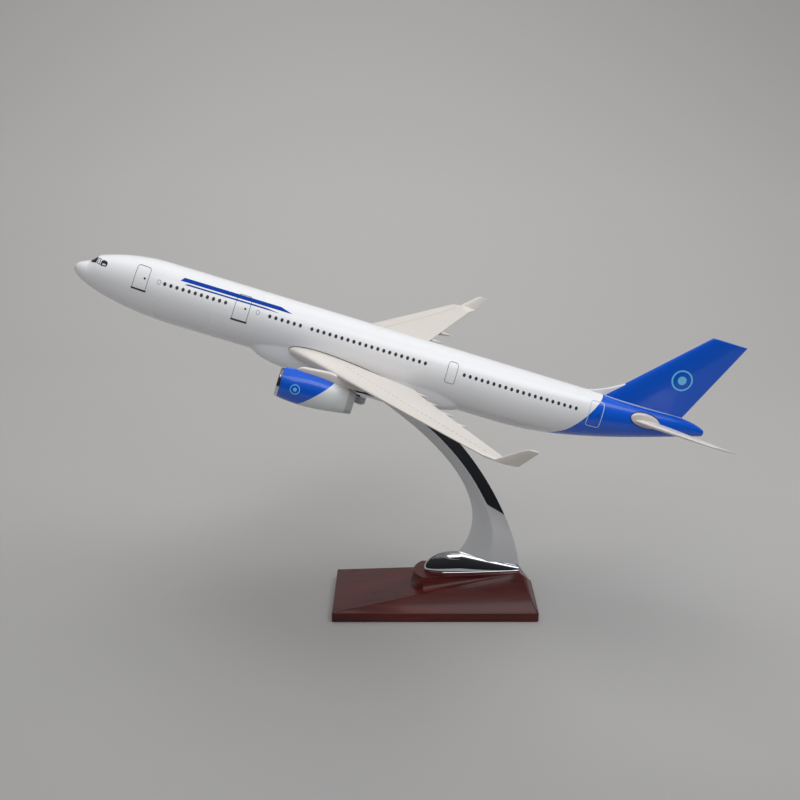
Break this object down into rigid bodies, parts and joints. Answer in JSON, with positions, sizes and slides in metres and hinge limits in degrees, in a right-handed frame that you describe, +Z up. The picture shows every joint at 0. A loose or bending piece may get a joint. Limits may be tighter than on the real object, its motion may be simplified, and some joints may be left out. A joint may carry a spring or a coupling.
{
  "type": "desktop airliner model",
  "caption": "Twin-engine airliner display model on a curved chrome arm and mahogany-finish base; the aircraft swivels on a knurled clamp screw.",
  "frame": {"origin": "centre of the base's underside", "axes": "+Z up, the aircraft's nose towards -X and its starboard wing towards +Y"},
  "size_m": [0.4811, 0.4478, 0.2584],
  "materials": {
    "mahogany": "stained red-brown with fine grain under satin lacquer",
    "felt": "black felt sheet",
    "steel": "plated steel",
    "chrome_plate": "mirror chrome plate",
    "pad_rubber": "matte black rubber",
    "insert_brass": "turned brass",
    "body_white": "cast resin, gloss white and deep blue paint under clear coat",
    "tail_blue": "gloss deep blue paint, white fillet",
    "wing_grey": "warm light grey paint, satin gloss",
    "cowl_paint": "gloss deep blue in front, silver-grey behind a slanted line",
    "fan_grey": "dark metallic grey paint",
    "ring_silver": "silver-grey paint"
  },
  "bodies": {
    "stand": {"base_block": "mahogany", "base_felt": "felt", "base_washers": "steel", "base_screws": "steel", "stand_foot": "chrome_plate", "stand_arm": "chrome_plate"},
    "aircraft": {"saddle_pad": "pad_rubber", "threaded_insert": "insert_brass", "fuselage": "body_white", "fin": "tail_blue", "left_wing": "wing_grey", "right_wing": "wing_grey", "left_stabilizer": "wing_grey", "right_stabilizer": "wing_grey", "left_nacelle": "cowl_paint", "right_nacelle": "cowl_paint", "left_intake_lip": "chrome_plate", "right_intake_lip": "chrome_plate", "left_fan_disc": "fan_grey", "right_fan_disc": "fan_grey", "left_rear_ring": "ring_silver", "right_rear_ring": "ring_silver", "left_exhaust_plug": "fan_grey", "right_exhaust_plug": "fan_grey"},
    "clamp_washer": {"screw_washer": "steel"},
    "clamp_screw": {"thumb_screw": "steel"}
  },
  "joints": [
    {"name": "aircraft_swivel", "type": "hinge", "parent": "stand", "child": "aircraft", "pos_m": [-0.0593, 0, 0.1627], "axis": [0.2672, 0, 0.9636], "continuous": true},
    {"name": "thumb_screw_travel", "type": "slide", "parent": "stand", "child": "clamp_washer", "axis": [0.2672, 0, 0.9636], "range_m": [-0.0084, 0]},
    {"name": "thumb_screw_turn", "type": "hinge", "parent": "clamp_washer", "child": "clamp_screw", "pos_m": [-0.0593, 0, 0.1627], "axis": [0.2672, 0, 0.9636], "range_deg": [-4320, 0]}
  ],
  "couplings": [
    {"joint": "thumb_screw_turn", "follows": "thumb_screw_travel", "rad_per_m": 8976}
  ]
}
